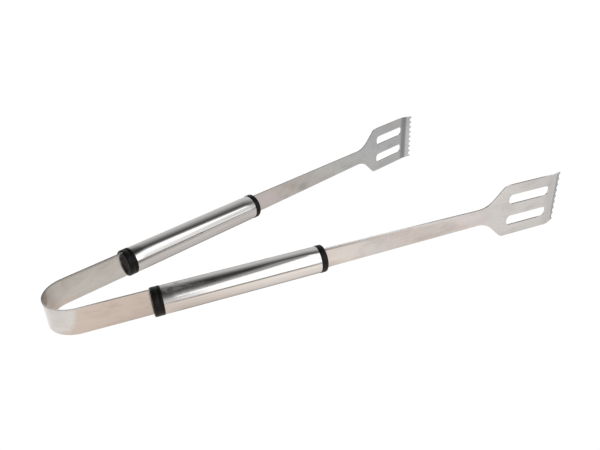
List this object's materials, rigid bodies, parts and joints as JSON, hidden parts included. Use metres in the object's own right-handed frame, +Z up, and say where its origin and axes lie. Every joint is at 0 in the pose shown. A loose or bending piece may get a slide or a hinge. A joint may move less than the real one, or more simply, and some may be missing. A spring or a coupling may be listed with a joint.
{
  "type": "spring tongs",
  "caption": "Long barbecue tongs: a bent strip spring joins tube handles with plastic end caps to blades with slotted, tooth-edged heads.",
  "frame": {"origin": "under the middle of the tongs at rest, on the surface that the heads' lower edges stand on", "axes": "+X along the tongs from the bow spring to the heads, midway between the arms; +Y towards the far arm; +Z up, along the width of the strips"},
  "size_m": [0.4016, 0.1854, 0.0468],
  "materials": {
    "spring_steel": "satin stainless strip, brushed along its length",
    "blade_steel": "satin stainless sheet, brushed along its length",
    "tube_steel": "polished stainless tube",
    "cap_plastic": "black moulded plastic, slightly glossy",
    "rivet_steel": "plain steel"
  },
  "bodies": {
    "bow": {"bow_spring": "spring_steel"},
    "near_arm": {"near_blade": "blade_steel", "near_handle_tube": "tube_steel", "near_rear_cap": "cap_plastic", "near_front_cap": "cap_plastic", "near_rear_rivet": "rivet_steel", "near_front_rivet": "rivet_steel"},
    "far_arm": {"far_blade": "blade_steel", "far_handle_tube": "tube_steel", "far_rear_cap": "cap_plastic", "far_front_cap": "cap_plastic", "far_rear_rivet": "rivet_steel", "far_front_rivet": "rivet_steel"}
  },
  "joints": [
    {"name": "near_arm_flex", "type": "hinge", "parent": "bow", "child": "near_arm", "pos_m": [-0.1778, -0.019, 0.0234], "axis": [0, 0, 1], "range_deg": [-3, 13.3], "stiffness_Nm_per_rad": 9.2, "deforming": ["bow_spring"]},
    {"name": "far_arm_flex", "type": "hinge", "parent": "bow", "child": "far_arm", "pos_m": [-0.1778, 0.019, 0.0234], "axis": [0, 0, -1], "range_deg": [-3, 13.3], "stiffness_Nm_per_rad": 9.2, "deforming": ["bow_spring"]}
  ],
  "couplings": [
    {"joint": "far_arm_flex", "follows": "near_arm_flex", "ratio": 1}
  ]
}
